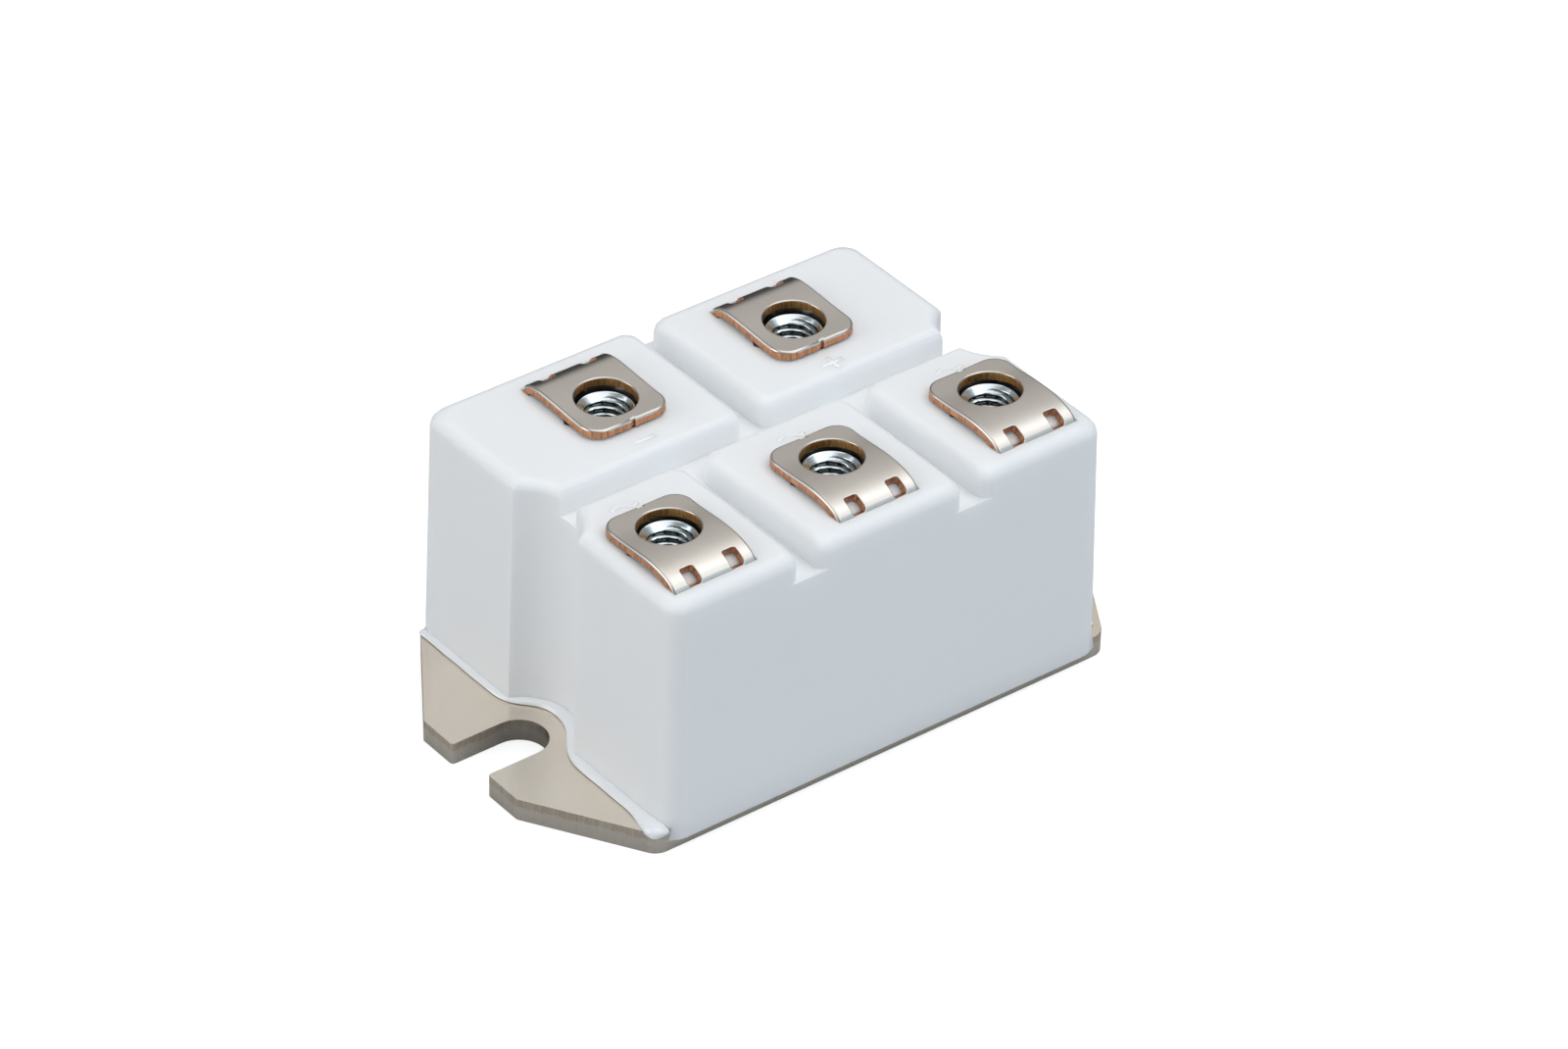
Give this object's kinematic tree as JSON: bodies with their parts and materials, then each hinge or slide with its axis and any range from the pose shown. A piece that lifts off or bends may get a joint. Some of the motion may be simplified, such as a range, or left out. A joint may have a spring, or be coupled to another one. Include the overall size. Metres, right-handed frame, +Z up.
{
  "type": "bridge rectifier module",
  "caption": "White moulded bridge rectifier module: screw terminals on bent metal tabs over captive nuts, on a slotted copper baseplate; turns polyphase AC into DC.",
  "frame": {"origin": "Middle of the plate's mounting face.", "axes": "X runs along the long front face from the left ear to the right ear, Y from the front row of terminals to the rear row, Z up from the mounting face to the terminals."},
  "size_m": [0.072, 0.0424, 0.0305],
  "materials": {
    "nickel_plate": "satin nickel on copper",
    "white_plastic": "fine satin moulding",
    "silicone": "glossy",
    "nickel_strip": "satin nickel, bare copper on sheared edges",
    "zinc": "bright zinc",
    "copper": "bare copper",
    "alumina": "matt",
    "silicon": "metallised",
    "gel": "clear soft gel",
    "resin": "cast"
  },
  "bodies": {
    "root": {"baseplate": "nickel_plate", "housing": "white_plastic", "sealing_bead_left": "silicone", "sealing_bead_right": "silicone", "terminal_minus": "nickel_strip", "terminal_plus": "nickel_strip", "terminal_ac_1": "nickel_strip", "terminal_ac_2": "nickel_strip", "terminal_ac_3": "nickel_strip", "terminal_nuts": "zinc", "substrate_copper": "copper", "substrate_ceramic": "alumina", "track_plus": "copper", "track_minus": "copper", "track_ac_1": "copper", "track_ac_2": "copper", "track_ac_3": "copper", "diode_high_1": "silicon", "diode_high_2": "silicon", "diode_high_3": "silicon", "diode_low_1": "silicon", "diode_low_2": "silicon", "diode_low_3": "silicon", "clip_ac_1": "copper", "clip_ac_2": "copper", "clip_ac_3": "copper", "bus_minus": "copper", "gel_fill": "gel", "hard_fill": "resin"}
  },
  "joints": []
}
